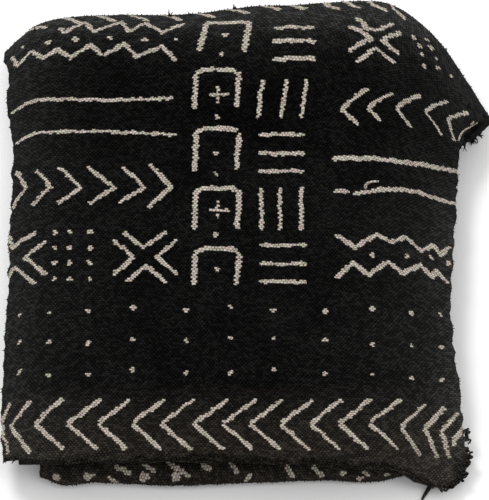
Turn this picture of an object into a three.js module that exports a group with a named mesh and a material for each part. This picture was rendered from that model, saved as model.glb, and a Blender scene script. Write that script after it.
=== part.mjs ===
// A mud cloth throw, folded in three across its width and then in half and half again along its length.
// Millimetres, +Z up. X runs across the folded cloth, Y from its front edge to its back, and it rests on Z = 0.
// The painted face is outside: the middle third of the cloth is the top of the stack and also its underside.
import * as THREE from "three";

// Driving dimensions of the cloth and of its stack.
const CLOTH_THICKNESS = 1.2;
const LAYER_PITCH = 3.9;
const QUARTER_GAP = 5.2;
const STACK_LEFT = -193;
const STACK_RIGHT = 192;

// How far the rounded folds reach beyond the half circle that their layers need.
const OUTER_BACK_EXTRA = 21;
const INNER_BACK_EXTRA = 3;
const INNER_BACK_SHIFT = 12;
const FRONT_FOLD_EXTRA = 3;

// Left and right limb of the top quarter, from its front edge (along 0) to its back fold (along 1).
const TOP_LIMBS = [
  { along: 0.0, left: -191, right: 184 },
  { along: 0.06, left: -192, right: 195 },
  { along: 0.12, left: -193, right: 192 },
  { along: 0.25, left: -191, right: 188 },
  { along: 0.45, left: -188, right: 181 },
  { along: 0.6, left: -187, right: 183 },
  { along: 0.8, left: -185, right: 187 },
  { along: 0.92, left: -190, right: 190 },
  { along: 1.0, left: -188, right: 200 },
];

// The three lower quarters are folded narrower, so the top quarter hangs over their sides.
const LOWER_LIMBS = [
  { along: 0.0, left: -163, right: 122 },
  { along: 0.2, left: -166, right: 140 },
  { along: 0.5, left: -170, right: 155 },
  { along: 0.8, left: -170, right: 160 },
  { along: 1.0, left: -164, right: 164 },
];

// Front and back of the stack across its width: the top free edge, the lower rounded fold, the tucked free edge,
// the start of the back fold, the share of OUTER_BACK_EXTRA that it keeps, and the way it faces, in degrees from Y.
const ENDS = [
  { across: 0.0, top: 9, lower: 22, tucked: 18, back: 399, round: 0.5, facing: -22 },
  { across: 0.06, top: 8, lower: 17, tucked: 16, back: 411, round: 0.7, facing: -16 },
  { across: 0.16, top: 7, lower: 16, tucked: 15, back: 417, round: 1.0, facing: -8 },
  { across: 0.36, top: 6, lower: 17, tucked: 17, back: 420, round: 1.0, facing: 0 },
  { across: 0.62, top: 5, lower: 18, tucked: 15, back: 430, round: 1.0, facing: 0 },
  { across: 0.76, top: 5, lower: 19, tucked: 18, back: 431, round: 1.0, facing: 4 },
  { across: 0.82, top: 5, lower: 20, tucked: 20, back: 427, round: 1.0, facing: 20 },
  { across: 0.88, top: 4, lower: 22, tucked: 22, back: 410, round: 0.9, facing: 40 },
  { across: 0.94, top: 3, lower: 26, tucked: 26, back: 388, round: 0.6, facing: 52 },
  { across: 1.0, top: 6, lower: 34, tucked: 32, back: 362, round: 0.4, facing: 58 },
];

// How the top quarter droops over the sides and the front right corner, and how low it may come.
const LEFT_DROOP = { reach: 46, drop: 22 };
const RIGHT_DROOP = { reach: 70, drop: 42, easing: 1.2 };
const FRONT_DROOP = { reach: 24, drop: 4 };
const CORNER_DROOP = { x: 196, y: -6, reach: 125, drop: 21 };
const LOWEST_DROP = 35;
const LOWEST_BLEND = 6;

// Shallow waves of the top, each a ridge or trough across the cloth, with its height and its direction.
const WAVES = [
  { height: 1.0, length: 210, turn: 0.35, start: 0.6 },
  { height: 0.7, length: 130, turn: 1.25, start: 2.1 },
  { height: 0.5, length: 84, turn: -0.5, start: 4.0 },
];

// Mesh density: the stations across each third of the width, and the cells of each quarter and fold.
const ACROSS_SHARES = [0, 0.03, 0.08, 0.16, 0.28, 0.41, 0.54, 0.66, 0.75, 0.82, 0.88, 0.93, 0.97, 1];
const SIDE_FOLD_CELLS = 4;
const QUARTER_CELLS = 9;
const OUTER_BACK_CELLS = 10;
const FRONT_CELLS = 6;
const INNER_BACK_CELLS = 5;

const HALF_THICKNESS = CLOTH_THICKNESS / 2;
const THIRD_FACE = 4 * LAYER_PITCH + QUARTER_GAP;
const TUCKED_FACE = THIRD_FACE + QUARTER_GAP;
const TOP_FACE = 8 * LAYER_PITCH + 3 * QUARTER_GAP;

// The top quarter's lowest layer. What lies under it gives way to the droop in step with its height.
const DROOPS_ABOVE = 6 * LAYER_PITCH + 3 * QUARTER_GAP;

const mix = (a, b, share) => a + (b - a) * share;
const clamp01 = (value) => Math.min(1, Math.max(0, value));

// A smooth curve through one column of a table.
function tableValue(table, key, column, at) {
  let row = 0;
  while (row < table.length - 2 && at > table[row + 1][key]) row += 1;
  const slopeAt = (i) => {
    const before = table[Math.max(0, i - 1)];
    const after = table[Math.min(table.length - 1, i + 1)];
    return (after[column] - before[column]) / (after[key] - before[key]);
  };
  const low = table[row];
  const high = table[row + 1];
  const width = high[key] - low[key];
  const s = clamp01((at - low[key]) / width);
  const keep = (1 + 2 * s) * (1 - s) ** 2;
  const rise = s * (1 - s) ** 2 * width * slopeAt(row);
  const fall = s * s * (s - 1) * width * slopeAt(row + 1);
  return keep * low[column] + rise + (1 - keep) * high[column] + fall;
}

// Shares 0 to 1 that lie closer together near both ends, where the cloth bends.
function sharesWithDenseEnds(cells) {
  const shares = [];
  for (let i = 0; i <= cells; i += 1) {
    const even = i / cells;
    const eased = (1 - Math.cos(Math.PI * even)) / 2;
    shares.push(mix(even, eased, 0.6));
  }
  return shares;
}

// Stations across the unfolded width: left flap, left fold, middle third, right fold, right flap.
// depth is how far a layer lies under the painted middle third, outward how far a fold reaches past its limb.
function acrossStations() {
  const stations = [];
  const addFlat = (acrossList, depth) => {
    for (const across of acrossList) stations.push({ across, depth, outward: 0 });
  };
  const addFold = (across, from, to, direction) => {
    const radius = Math.abs(to - from) / 2;
    for (let i = 1; i < SIDE_FOLD_CELLS; i += 1) {
      const angle = (Math.PI * i) / SIDE_FOLD_CELLS;
      const depth = mix(from, to, (1 - Math.cos(angle)) / 2);
      stations.push({ across, depth, outward: direction * radius * Math.sin(angle) });
    }
  };
  const fromTheRight = [...ACROSS_SHARES].reverse();
  addFlat(fromTheRight.slice(1), LAYER_PITCH);
  addFold(0, LAYER_PITCH, 0, -1);
  addFlat(ACROSS_SHARES, 0);
  addFold(1, 0, 2 * LAYER_PITCH, 1);
  addFlat(fromTheRight.slice(0, -1), 2 * LAYER_PITCH);
  return stations;
}

// Stations along the length: top quarter, outer back fold, bottom quarter, front fold, the quarter above it,
// inner back fold, and the tucked quarter. turn is the angle round a fold.
function alongStations() {
  const stations = [];
  const addQuarter = (quarter, from, to) => {
    for (const share of sharesWithDenseEnds(QUARTER_CELLS)) {
      stations.push({ quarter, along: mix(from, to, share), turn: 0 });
    }
  };
  const addFold = (fold, along, cells) => {
    for (let i = 1; i < cells; i += 1) {
      stations.push({ fold, along, turn: (Math.PI * i) / cells });
    }
  };
  addQuarter("top", 0, 1);
  addFold("outerBack", 1, OUTER_BACK_CELLS);
  addQuarter("bottom", 1, 0);
  addFold("front", 0, FRONT_CELLS);
  addQuarter("third", 0, 1);
  addFold("innerBack", 1, INNER_BACK_CELLS);
  addQuarter("tucked", 1, 0);
  return stations;
}

// Height of each quarter's painted face above the lowest layer, and the way to the layers under that face.
const QUARTERS = {
  top: { height: TOP_FACE, inward: -1, front: "top" },
  bottom: { height: 0, inward: 1, front: "lower" },
  third: { height: THIRD_FACE, inward: -1, front: "lower" },
  tucked: { height: TUCKED_FACE, inward: 1, front: "tucked" },
};

// Each fold's middle height, half height at the painted face, how a layer's depth changes that, and its bulge.
const FOLDS = {
  outerBack: { middle: TOP_FACE / 2, half: TOP_FACE / 2, inward: -1, extra: OUTER_BACK_EXTRA, down: 1 },
  innerBack: { middle: TOP_FACE / 2, half: QUARTER_GAP / 2, inward: 1, extra: INNER_BACK_EXTRA, down: -1 },
  front: { middle: THIRD_FACE / 2, half: THIRD_FACE / 2, inward: -1, extra: FRONT_FOLD_EXTRA, down: -1 },
};

// Where a quarter or a back fold ends at the back. The two inner quarters reach further into the fold round them.
function backEnd(length, ends) {
  const inner = ["third", "innerBack", "tucked"].includes(length.quarter ?? length.fold);
  return ends("back") + (inner ? INNER_BACK_SHIFT * ends("round") : 0);
}

// The place of a layer in the undrooped stack.
function stackPlace(side, length) {
  const ends = (column) => tableValue(ENDS, "across", column, side.across);
  const limb = (table, column) => tableValue(table, "along", column, length.along);
  let lowerShare = length.quarter === "top" ? 0 : 1;
  let y;
  let height;
  let sideways = 0;
  if (length.quarter) {
    const quarter = QUARTERS[length.quarter];
    y = mix(ends(quarter.front), backEnd(length, ends), length.along);
    height = quarter.height + quarter.inward * side.depth;
  } else {
    const fold = FOLDS[length.fold];
    const half = fold.half + fold.inward * side.depth;
    const reach = (half + fold.extra * ends("round")) * Math.sin(length.turn);
    const facing = THREE.MathUtils.degToRad(ends("facing"));
    if (length.fold === "front") {
      y = ends("lower") - reach;
    } else {
      y = backEnd(length, ends) + reach * Math.cos(facing);
      sideways = reach * Math.sin(facing);
    }
    height = fold.middle + fold.down * half * Math.cos(length.turn);
    if (length.fold === "outerBack") lowerShare = (1 - Math.cos(length.turn)) / 2;
  }
  const left = mix(limb(TOP_LIMBS, "left"), limb(LOWER_LIMBS, "left"), lowerShare);
  const right = mix(limb(TOP_LIMBS, "right"), limb(LOWER_LIMBS, "right"), lowerShare);
  const x = mix(left, right, side.across) + side.outward + sideways;
  return new THREE.Vector3(x, y, HALF_THICKNESS + height);
}

// How far the top quarter comes down at a place, which the quarters under it follow by their height.
function droopAt(x, y) {
  const left = clamp01((STACK_LEFT + LEFT_DROOP.reach - x) / LEFT_DROOP.reach) ** 2;
  const rightShare = Math.max(0, (x - STACK_RIGHT + RIGHT_DROOP.reach) / RIGHT_DROOP.reach) ** 2;
  const right = rightShare / (1 + RIGHT_DROOP.easing * rightShare);
  const front = clamp01(1 - y / FRONT_DROOP.reach) ** 2;
  const cornerShare = clamp01(1 - Math.hypot(x - CORNER_DROOP.x, y - CORNER_DROOP.y) / CORNER_DROOP.reach);
  const corner = cornerShare * cornerShare * (3 - 2 * cornerShare);
  const sides = LEFT_DROOP.drop * left + RIGHT_DROOP.drop * right;
  const total = sides + FRONT_DROOP.drop * front + CORNER_DROOP.drop * corner;
  const blend = clamp01(0.5 + (total - LOWEST_DROP) / (2 * LOWEST_BLEND));
  return mix(total, LOWEST_DROP, blend) - LOWEST_BLEND * blend * (1 - blend);
}

function waveAt(x, y) {
  let total = 0;
  for (const wave of WAVES) {
    const distance = x * Math.cos(wave.turn) + y * Math.sin(wave.turn);
    total += wave.height * Math.sin((2 * Math.PI * distance) / wave.length + wave.start);
  }
  return total;
}

// The middle of the cloth at a pair of stations, drooped and waved. The lowest layer stays level.
function clothPlace(side, length) {
  const place = stackPlace(side, length);
  const height = place.z - HALF_THICKNESS;
  const follow = clamp01(height / DROOPS_ABOVE);
  place.z -= droopAt(place.x, place.y) * follow;
  place.z += waveAt(place.x, place.y) * (height / TOP_FACE);
  return place;
}

// A closed sheet of even thickness round a grid of its middle points.
function sheetGeometry(rows) {
  const across = rows[0].length;
  const along = rows.length;
  const at = (i, j) => rows[Math.min(along - 1, Math.max(0, j))][Math.min(across - 1, Math.max(0, i))];
  const positions = [];
  for (const side of [1, -1]) {
    for (let j = 0; j < along; j += 1) {
      for (let i = 0; i < across; i += 1) {
        const alongX = new THREE.Vector3().subVectors(at(i + 1, j), at(i - 1, j));
        const alongY = new THREE.Vector3().subVectors(at(i, j + 1), at(i, j - 1));
        const normal = alongX.cross(alongY).normalize();
        const point = at(i, j).clone().addScaledVector(normal, side * HALF_THICKNESS);
        positions.push(point.x, point.y, point.z);
      }
    }
  }
  const indices = [];
  const outer = (i, j) => j * across + i;
  const inner = (i, j) => along * across + outer(i, j);
  const quad = (a, b, c, d) => indices.push(a, b, c, a, c, d);
  for (let j = 0; j < along - 1; j += 1) {
    for (let i = 0; i < across - 1; i += 1) {
      quad(outer(i, j), outer(i + 1, j), outer(i + 1, j + 1), outer(i, j + 1));
      quad(inner(i, j), inner(i, j + 1), inner(i + 1, j + 1), inner(i + 1, j));
    }
  }
  for (let i = 0; i < across - 1; i += 1) {
    quad(outer(i, 0), inner(i, 0), inner(i + 1, 0), outer(i + 1, 0));
    quad(outer(i + 1, along - 1), inner(i + 1, along - 1), inner(i, along - 1), outer(i, along - 1));
  }
  for (let j = 0; j < along - 1; j += 1) {
    quad(outer(0, j + 1), inner(0, j + 1), inner(0, j), outer(0, j));
    quad(outer(across - 1, j), inner(across - 1, j), inner(across - 1, j + 1), outer(across - 1, j + 1));
  }
  const geometry = new THREE.BufferGeometry();
  geometry.setAttribute("position", new THREE.Float32BufferAttribute(positions, 3));
  geometry.setIndex(indices);
  return geometry;
}

function makeCloth() {
  const sides = acrossStations();
  const rows = alongStations().map((length) => sides.map((side) => clothPlace(side, length)));
  const geometry = sheetGeometry(rows);
  geometry.computeBoundingBox();
  const middle = geometry.boundingBox.getCenter(new THREE.Vector3());
  geometry.translate(-middle.x, -middle.y, -geometry.boundingBox.min.z);
  geometry.computeVertexNormals();
  const material = new THREE.MeshStandardMaterial({ color: 0x171514, roughness: 0.95, metalness: 0 });
  const cloth = new THREE.Mesh(geometry, material);
  cloth.name = "cloth";
  return cloth;
}

const root = new THREE.Group();
root.add(makeCloth());

export default root;
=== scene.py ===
# A mud cloth throw, folded in three across its width and then in half and half again along its length.
# The scene is in metres. The tables are in millimetres across and along the folded stack, and MM turns them
# into metres.
import math

import bpy
import numpy as np
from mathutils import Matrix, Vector


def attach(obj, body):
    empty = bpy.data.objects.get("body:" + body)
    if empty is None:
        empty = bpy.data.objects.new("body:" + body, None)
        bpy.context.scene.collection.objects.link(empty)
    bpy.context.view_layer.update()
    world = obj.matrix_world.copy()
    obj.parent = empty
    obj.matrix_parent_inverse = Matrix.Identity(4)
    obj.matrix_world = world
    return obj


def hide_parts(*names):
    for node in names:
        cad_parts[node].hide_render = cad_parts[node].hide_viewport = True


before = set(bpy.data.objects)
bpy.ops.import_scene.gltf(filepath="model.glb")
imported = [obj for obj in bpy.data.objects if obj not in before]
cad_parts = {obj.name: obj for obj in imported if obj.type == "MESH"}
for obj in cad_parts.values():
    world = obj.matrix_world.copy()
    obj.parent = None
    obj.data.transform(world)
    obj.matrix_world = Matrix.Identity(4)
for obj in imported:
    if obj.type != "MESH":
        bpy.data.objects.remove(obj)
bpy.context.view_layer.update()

MM = 0.001

# Where the frame's origin lies in the tables.
STACK_MIDDLE_X = 10.8
STACK_MIDDLE_Y = 239.03

# Driving dimensions of the cloth and of its stack, as in the solid.
CLOTH_THICKNESS = 1.2
LAYER_PITCH = 3.9
QUARTER_GAP = 5.2
STACK_LEFT = -193
STACK_RIGHT = 192

# How far the rounded folds reach beyond the half circle that their layers need.
OUTER_BACK_EXTRA = 21
INNER_BACK_EXTRA = 3
INNER_BACK_SHIFT = 12
FRONT_FOLD_EXTRA = 3


def columns(*names):
    """Returns a function that turns rows of numbers into a table with these named columns."""
    return lambda *rows: {name: np.array(values, float) for name, values in zip(names, zip(*rows))}


# Left and right limb of the top quarter, from its front edge (along 0) to its back fold (along 1).
TOP_LIMBS = columns("along", "left", "right")(
    (0.0, -191, 184),
    (0.06, -192, 195),
    (0.12, -193, 192),
    (0.25, -191, 188),
    (0.45, -188, 181),
    (0.6, -187, 183),
    (0.8, -185, 187),
    (0.92, -190, 190),
    (1.0, -188, 199),
)

# The three lower quarters are folded narrower, so the top quarter hangs over their sides.
LOWER_LIMBS = columns("along", "left", "right")(
    (0.0, -160, 142),
    (0.2, -166, 146),
    (0.5, -170, 155),
    (0.8, -170, 160),
    (0.92, -168, 173),
    (1.0, -164, 193),
)

# Front and back of the stack across its width: the top free edge, the lower rounded fold, the tucked free
# edge, the start of the back fold, the share of OUTER_BACK_EXTRA that it keeps, and the way it faces, in
# degrees from Y.
ENDS = columns("across", "top", "lower", "tucked", "back", "round", "facing")(
    (0.0, 19, 27, 22, 408, 0.6, -22),
    (0.06, 11, 20, 20, 418, 0.8, -16),
    (0.16, 9, 23, 21, 421, 1.0, -8),
    (0.36, 11, 20, 20, 423, 1.0, 0),
    (0.52, 10, 22, 21, 431, 1.0, 0),
    (0.62, 9, 23, 21, 432, 1.0, 0),
    (0.76, 8, 25, 22, 436, 1.0, 4),
    (0.82, 9, 25, 22, 433, 1.0, 20),
    (0.88, 11, 24, 22, 414, 0.9, 40),
    (0.94, 5, 24, 24, 387, 0.5, 53),
    (1.0, 6, 28, 28, 350, 0.2, 60),
)

# How the top quarter droops over the sides and the front right corner, how low it may come, and the back
# right corner that stands out from the droop.
LEFT_DROOP = {"reach": 46, "drop": 22}
RIGHT_DROOP = {"reach": 70, "drop": 42, "easing": 1.2}
FRONT_DROOP = {"reach": 24, "drop": 4}
CORNER_DROOP = {"x": 196, "y": -6, "reach": 125, "drop": 21}
EAR = {"x": 210, "y": 362, "reach": 75, "relief": 0.8}
LOWEST_DROP = 35
LOWEST_BLEND = 6

# Shallow waves of the top, each a ridge or trough across the cloth, with its height and its direction.
WAVES = (
    {"height": 1.0, "length": 210, "turn": 0.35, "start": 0.6},
    {"height": 0.7, "length": 130, "turn": 1.25, "start": 2.1},
    {"height": 0.5, "length": 84, "turn": -0.5, "start": 4.0},
)

# Cells of the fine sheet across each third and along each quarter and fold.
MIDDLE_CELLS = 120
FLAP_CELLS = 24
SIDE_FOLD_CELLS = 6
FLAP_EDGE_SHARE = 0.03
END_CROWDING = 0.35
TOP_CELLS = 138
LOWER_CELLS = 20
OUTER_BACK_CELLS = 24
FRONT_CELLS = 16
INNER_BACK_CELLS = 8

HALF_THICKNESS = CLOTH_THICKNESS / 2
THIRD_FACE = 4 * LAYER_PITCH + QUARTER_GAP
TUCKED_FACE = THIRD_FACE + QUARTER_GAP
TOP_FACE = 8 * LAYER_PITCH + 3 * QUARTER_GAP
DROOPS_ABOVE = 6 * LAYER_PITCH + 3 * QUARTER_GAP

# Height of each quarter's painted face above the lowest layer, and the way to the layers under that face.
QUARTERS = {
    "top": {"height": TOP_FACE, "inward": -1, "front": "top"},
    "bottom": {"height": 0, "inward": 1, "front": "lower"},
    "third": {"height": THIRD_FACE, "inward": -1, "front": "lower"},
    "tucked": {"height": TUCKED_FACE, "inward": 1, "front": "tucked"},
}



def fold_shape(middle, half, inward, extra, down):
    """A fold's middle height, its half height at the painted face, how a layer's depth changes that, and its
    bulge. down is 1 where the fold runs down and -1 where it runs up."""
    return {"middle": middle, "half": half, "inward": inward, "extra": extra, "down": down}


FOLDS = {
    "outer_back": fold_shape(TOP_FACE / 2, TOP_FACE / 2, -1, OUTER_BACK_EXTRA, 1),
    "inner_back": fold_shape(TOP_FACE / 2, QUARTER_GAP / 2, 1, INNER_BACK_EXTRA, -1),
    "front": fold_shape(THIRD_FACE / 2, THIRD_FACE / 2, -1, FRONT_FOLD_EXTRA, -1),
}
INNER_PARTS = ("third", "inner_back", "tucked")

# The photograph's view of the stack.
IMAGE_HEIGHT = 500
CAMERA_TILT = math.radians(58)
CAMERA_DISTANCE = 12000
MM_PER_PIXEL = 0.85
SENSOR = 36
CAMERA_TARGET = (10.6, 215.9, 48)

# How a seen place is found: its level, how far a grid point has to face the camera, and how many cells from
# that point the place may lie.
SEEN_LEVEL = 48
SEEN_FACING = 0.06
CELL_REACH = 0.7
SOLVE_LIMIT = 0.05
FAR_AWAY = 1e6
NEARLY_ZERO = 1e-6
TINY = 1e-9

# Unevenness of the cloth beyond its folds. Each noise is layers of a share, the size of its bumps and a seed.
NOISE_LATTICE = 256
SURFACE_BUMP = 0.35
SURFACE_NOISE = ((1, 11, 1), (0.6, 5.5, 2))
LIMB_BUMP = 1.1
LIMB_BUMP_COLUMNS = 4
LEFT_LIMB_NOISE = ((1, 9, 3), (0.7, 4.5, 13))
RIGHT_LIMB_NOISE = ((1, 9, 4), (0.7, 4.5, 14))
FRONT_EDGE_REACH = 7
FRONT_EDGE_RAGGED = 2.3
FRONT_EDGE_NOISE = ((1, 13, 5), (0.8, 5, 6))
FRONT_EDGE_LIFT = 1.6
FRONT_LIFT_NOISE = ((1, 10, 7),)

# Loose yarns: how often a limb has one, where the raw end's thick curls begin, and each yarn's least and most
# length and radius.
FRAY_SEED = 5
LIMB_FRAY_CHANCE = 0.7
RAW_END_X = 168
RAW_END_Y = 42
FLOOR_CLEARANCE = 0.3
YARNS_A_COLUMN = 2
EDGE_TUFT_LENGTH = (1.0, 2.8)
EDGE_CURL_SIZE = (1.2, 3.0)
LIMB_TUFT_LENGTH = (0.8, 1.8)
LIMB_CURL_SIZE = (1.4, 3.4)
TUFT_RADIUS = (0.4, 0.7)
CURL_RADIUS = (0.7, 1.1)
STUB_LENGTH = (0.7, 1.5)
STUB_RADIUS = (0.5, 0.9)

# The tufts, and then the curls, that the photograph shows: the place, the way it points, and the size.
TUFT_YARNS = 7
TUFT_SCATTER = 0.8
TUFT_SHARE = (0.3, 0.8)
SEEN_TUFT_RADIUS = 0.75
CURL_YARNS = 6
CURL_SCATTER = 1.2
CURL_SHARE = (0.4, 0.9)
CURL_POINTS = 6
SEEN_TUFTS = (
    (-170, 438, -0.3, 1.0, 4),
    (-53, 453, 0.1, 1.0, 4),
    (-36, 454, -0.2, 1.0, 4),
    (2, 461, 0.2, 1.0, 4),
    (-184, 1, -0.4, -1.0, 4),
    (170, 400, 1.0, 0.7, 5),
    (177, 386, 1.0, 0.5, 5),
    (202, 361, 1.0, 0.6, 6),
    (216, 351, 1.0, 0.2, 5),
    (217, 326, 1.0, -0.5, 5),
    (214, 314, 0.6, -1.0, 5),
    (204, 322, 0.2, -1.0, 6),
    (198, 322, -0.2, -1.0, 6),
)
SEEN_CURLS = (
    (197, 32, 1.0, 0.4, 5),
    (200, 26, 1.0, 0.1, 5),
    (200, 17, 1.0, -0.1, 3),
    (199, 10, 1.0, -0.2, 4),
    (197, 3, 1.0, -0.3, 3),
    (194, -4, 1.0, -0.5, 4),
    (192, -10, 0.8, -1.0, 4),
    (186, -20, 0.3, -1.0, 4),
    (178, -22, 0.0, -1.0, 4),
)

# The painted yarn on the back right corner's rim, the pulled loop and the thread that hangs at the front.
RIM_STROKE = ((193.5, 326), (195, 331), (197, 335), (200, 338), (203, 340), (207, 342), (210, 345))
RIM_RADIUS = 0.9
LOOSE_LOOP = ((113.5, 277), (114, 280), (116, 282.5), (120, 284), (125, 284))
LOOP_RADIUS = 1.5
TAIL_RADIUS = 2.6
TAIL_THREAD = (
    (170, 15, 8),
    (168, 9, 5),
    (165, 4, 3.2),
    (162.5, 0, 2.4),
    (160.5, -4, 1.8),
)

# How the flat layout is relaxed: the share of each pull, the grid lines skipped at first, and the rounds.
RELAX_STEP = 0.12
RELAX_STRIDE = 4
COARSE_ROUNDS = 1500
FINE_ROUNDS = 60

# Sizes of the weave, and how far the paint's edges keep to its floats and stray from them.
WEFT_LENGTH = 3.2
WEFT_PITCH = 2.0
CELL_SNAP = 0.6
RAGGED_CELL = 1.3
RAGGED_GRAIN = 1.4

# Sizes of the painted strokes, and the least and most share of them that a stroke or dot has.
STROKE_HALF_WIDTH = 1.8
SQUARE_HALF_WIDTH = 2.1
BROAD_HALF_WIDTH = 2.2
PLUS_HALF_WIDTH = 1.2
STROKE_SHARE = (0.9, 1.1)
DOT_RADIUS = 1.9
DOT_SHARE = (0.85, 1.15)
DOT_STRETCH = 0.7
END_TRIM = 1.4
BORDER_ARM = 23
BORDER_STEP = 25.5
WAVER_STEP = 7
WAVER_ASIDE = 0.35
PAINT_SEED = 11

# What the mesh tells the material: the nearest strokes of each face, or that a strand is all paint or none.
STROKES_A_FACE = 3
UNPAINTED = (50, 50, 0)
PAINTED = (-5, 0, 0)
STRAND_BRUSH = (1, 0, 8)
FACES_AT_ONCE = 4000

# Where the strokes of the top and of the front fold are looked for.
TOP_PARTS = ("top", "outer_back")
FRONT_PARTS = ("front", "third")

# Painted sheen: the black is painted lighter near the limbs and the back fold; the most it gains, how far in
# it fades.
LEFT_PAINTED_SHEEN = (0.010, 40)
RIGHT_PAINTED_SHEEN = ((0.011, 48), (0.008, 14))
BACK_PAINTED_SHEEN = (0.014, 16)
BACK_PAINTED_SHEEN_FROM = 450
# The right limb's painted sheen is weaker towards the back: the share it loses, where that begins, over what
# distance.
RIGHT_PAINTED_SHEEN_LESS = {"share": 0.6, "start": 240, "over": 70}
# Painted shade: a band across the back of the top is painted darker: how much, its middle and its reach.
PAINTED_SHADE_BAND = {"less": 0.001, "y": 370, "reach": 60}

# How the black turns browner and lighter along the front, more so in the front right corner and less on the
# raw end's rim; in both places the painted sheen is weaker too.
FRONT_BROWN = {"most": 0.0078, "start": 82, "over": -60, "power": 0.8}
CORNER = {"x": 110, "over_x": 60, "y": 120, "over_y": -70, "brown": 0.0035, "sheen_grey": 0.3}
RAW_RIM = {"x": 183, "over_x": 6, "y": 36, "over_y": -8, "brown": 0.5, "sheen_grey": 0.6}
# Painted shade: the paint is painted darker on the low front parts, under the top quarter's front edge.
FRONT_PAINT_SHADE = {"most": 0.25, "y": 40, "over_y": -10, "height": 38, "over_height": -4}

# Shades in linear light: the black's least and most, the brown's tint, and two hues of paint, dim and bright.
BLACK_SHADES = (0.0013, 0.0027)
GREY_TINT = (1.0, 1.0, 0.97)
BROWN_TINT = (1.25, 1.0, 0.75)
DIM_PAINT = ((0.33, 0.305, 0.24, 1), (0.37, 0.305, 0.265, 1))
BRIGHT_PAINT = ((0.48, 0.465, 0.38, 1), (0.53, 0.455, 0.415, 1))
CLOTH_FINISH = {
    "Roughness": 0.9,
    "Specular IOR Level": 0.015,
    "Sheen Weight": 0.012,
    "Sheen Roughness": 0.35,
}
BUMP_DEPTH = 0.0009

# The studio, in metres: the floor, the world and each lamp's place, size and power.
FLOOR_HALF_SIZE = 8
FLOOR_COLOUR = (0.82, 0.82, 0.82, 1)
WORLD_STRENGTH = 0.95
LAMPS = {
    "key": ((-0.9, 1.2, 1.9), 0.9, 30),
    "fill": ((1.4, -0.8, 1.8), 1.4, 10),
}


def mix(a, b, share):
    return a + (b - a) * share


def clamp01(value):
    return np.clip(value, 0, 1)


def ramp(value, start, over):
    """0 up to the start and 1 from there on past that distance, which is negative where it goes down."""
    return clamp01((value - start) / over)


def table_value(table, key, column, at):
    """A smooth curve through one column of a table."""
    keys, values = table[key], table[column]
    last = len(keys) - 1
    before = np.maximum(np.arange(last + 1) - 1, 0)
    after = np.minimum(np.arange(last + 1) + 1, last)
    slopes = (values[after] - values[before]) / (keys[after] - keys[before])
    row = np.clip(np.searchsorted(keys, at, side="left") - 1, 0, last - 1)
    width = keys[row + 1] - keys[row]
    s = clamp01((at - keys[row]) / width)
    keep = (1 + 2 * s) * (1 - s) ** 2
    rise = s * (1 - s) ** 2 * width * slopes[row]
    fall = s * s * (s - 1) * width * slopes[row + 1]
    return keep * values[row] + rise + (1 - keep) * values[row + 1] + fall


def across_stations():
    """Stations across the unfolded width: left flap, left fold, middle third, right fold, right flap.
    depth is how far a layer lies under the painted third, outward how far a fold reaches past its limb."""
    flap = np.linspace(1 - FLAP_EDGE_SHARE, 0, FLAP_CELLS + 1)
    middle = np.linspace(0, 1, MIDDLE_CELLS + 1)
    turn = np.pi * np.arange(1, SIDE_FOLD_CELLS) / SIDE_FOLD_CELLS
    parts = []
    parts.append((flap, np.full(flap.size, LAYER_PITCH), np.zeros(flap.size)))
    left_depth = LAYER_PITCH * (1 + np.cos(turn)) / 2
    parts.append((np.zeros(turn.size), left_depth, -LAYER_PITCH / 2 * np.sin(turn)))
    parts.append((middle, np.zeros(middle.size), np.zeros(middle.size)))
    right_depth = LAYER_PITCH * (1 - np.cos(turn))
    parts.append((np.ones(turn.size), right_depth, LAYER_PITCH * np.sin(turn)))
    right_flap = np.linspace(1, FLAP_EDGE_SHARE, FLAP_CELLS + 1)
    parts.append((right_flap, np.full(flap.size, 2 * LAYER_PITCH), np.zeros(flap.size)))
    across, depth, outward = (np.concatenate(column) for column in zip(*parts))
    return {"across": across, "depth": depth, "outward": outward}


def dense_ends(cells):
    """Shares 0 to 1 that lie a little closer together near both ends, where the cloth bends."""
    even = np.linspace(0, 1, cells + 1)
    return mix(even, (1 - np.cos(np.pi * even)) / 2, END_CROWDING)


def along_stations():
    """Stations along the length, from the top quarter's front edge to the tucked quarter's.
    turn is the angle round a fold."""
    stations = []

    def add_quarter(quarter, start, end, cells):
        for share in dense_ends(cells):
            stations.append({"quarter": quarter, "fold": None, "along": mix(start, end, share), "turn": 0})

    def add_fold(fold, along, cells):
        for i in range(1, cells):
            stations.append({"quarter": None, "fold": fold, "along": along, "turn": math.pi * i / cells})

    add_quarter("top", 0, 1, TOP_CELLS)
    add_fold("outer_back", 1, OUTER_BACK_CELLS)
    add_quarter("bottom", 1, 0, LOWER_CELLS)
    add_fold("front", 0, FRONT_CELLS)
    add_quarter("third", 0, 1, LOWER_CELLS)
    add_fold("inner_back", 1, INNER_BACK_CELLS)
    add_quarter("tucked", 1, 0, LOWER_CELLS)
    return stations


def end_value(column, side):
    """One column of ENDS at these stations across."""
    return table_value(ENDS, "across", column, side["across"])


def back_end(length, side):
    """Where a quarter or a back fold ends at the back. The inner quarters reach further into the fold."""
    inner = length["quarter"] in INNER_PARTS or length["fold"] in INNER_PARTS
    shift = INNER_BACK_SHIFT * end_value("round", side) if inner else 0
    return end_value("back", side) + shift


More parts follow.
